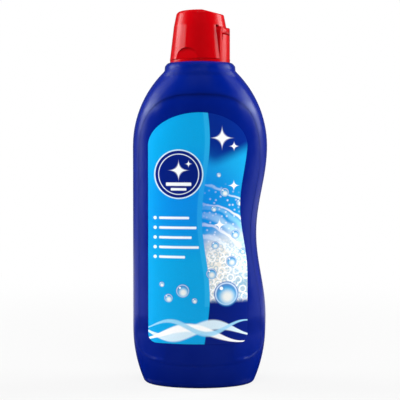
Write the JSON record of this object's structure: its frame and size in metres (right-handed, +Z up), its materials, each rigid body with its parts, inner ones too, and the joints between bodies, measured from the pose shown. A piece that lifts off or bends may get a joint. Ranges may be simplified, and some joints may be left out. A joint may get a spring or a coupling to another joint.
{
  "type": "dishwasher gel bottle",
  "caption": "Flat oval squeeze bottle with a side hand grip, labels front and back, and a push-on closure with a hinged lid over a spout.",
  "frame": {"origin": "middle of the foot's resting plane, under the neck", "axes": "+Z up through the neck, +X towards the side with the hand grip, -Y out of the front label"},
  "size_m": [0.0924, 0.0614, 0.2548],
  "materials": {
    "bottle_blue": "semi-gloss blow-moulded polyethylene",
    "closure_red": "gloss injection-moulded polypropylene",
    "label_film": "gloss printed polypropylene film",
    "gel": "clear blue gel"
  },
  "bodies": {
    "bottle_body": {"bottle": "bottle_blue", "closure_base": "closure_red", "front_label": "label_film", "back_label": "label_film", "gel_fill": "gel"},
    "lid_body": {"lid": "closure_red"}
  },
  "joints": [
    {"name": "lid_hinge", "type": "hinge", "parent": "bottle_body", "child": "lid_body", "pos_m": [0.0158, -0.0084, 0.241], "axis": [0.4695, 0.8829, 0], "range_deg": [0, 120]}
  ]
}
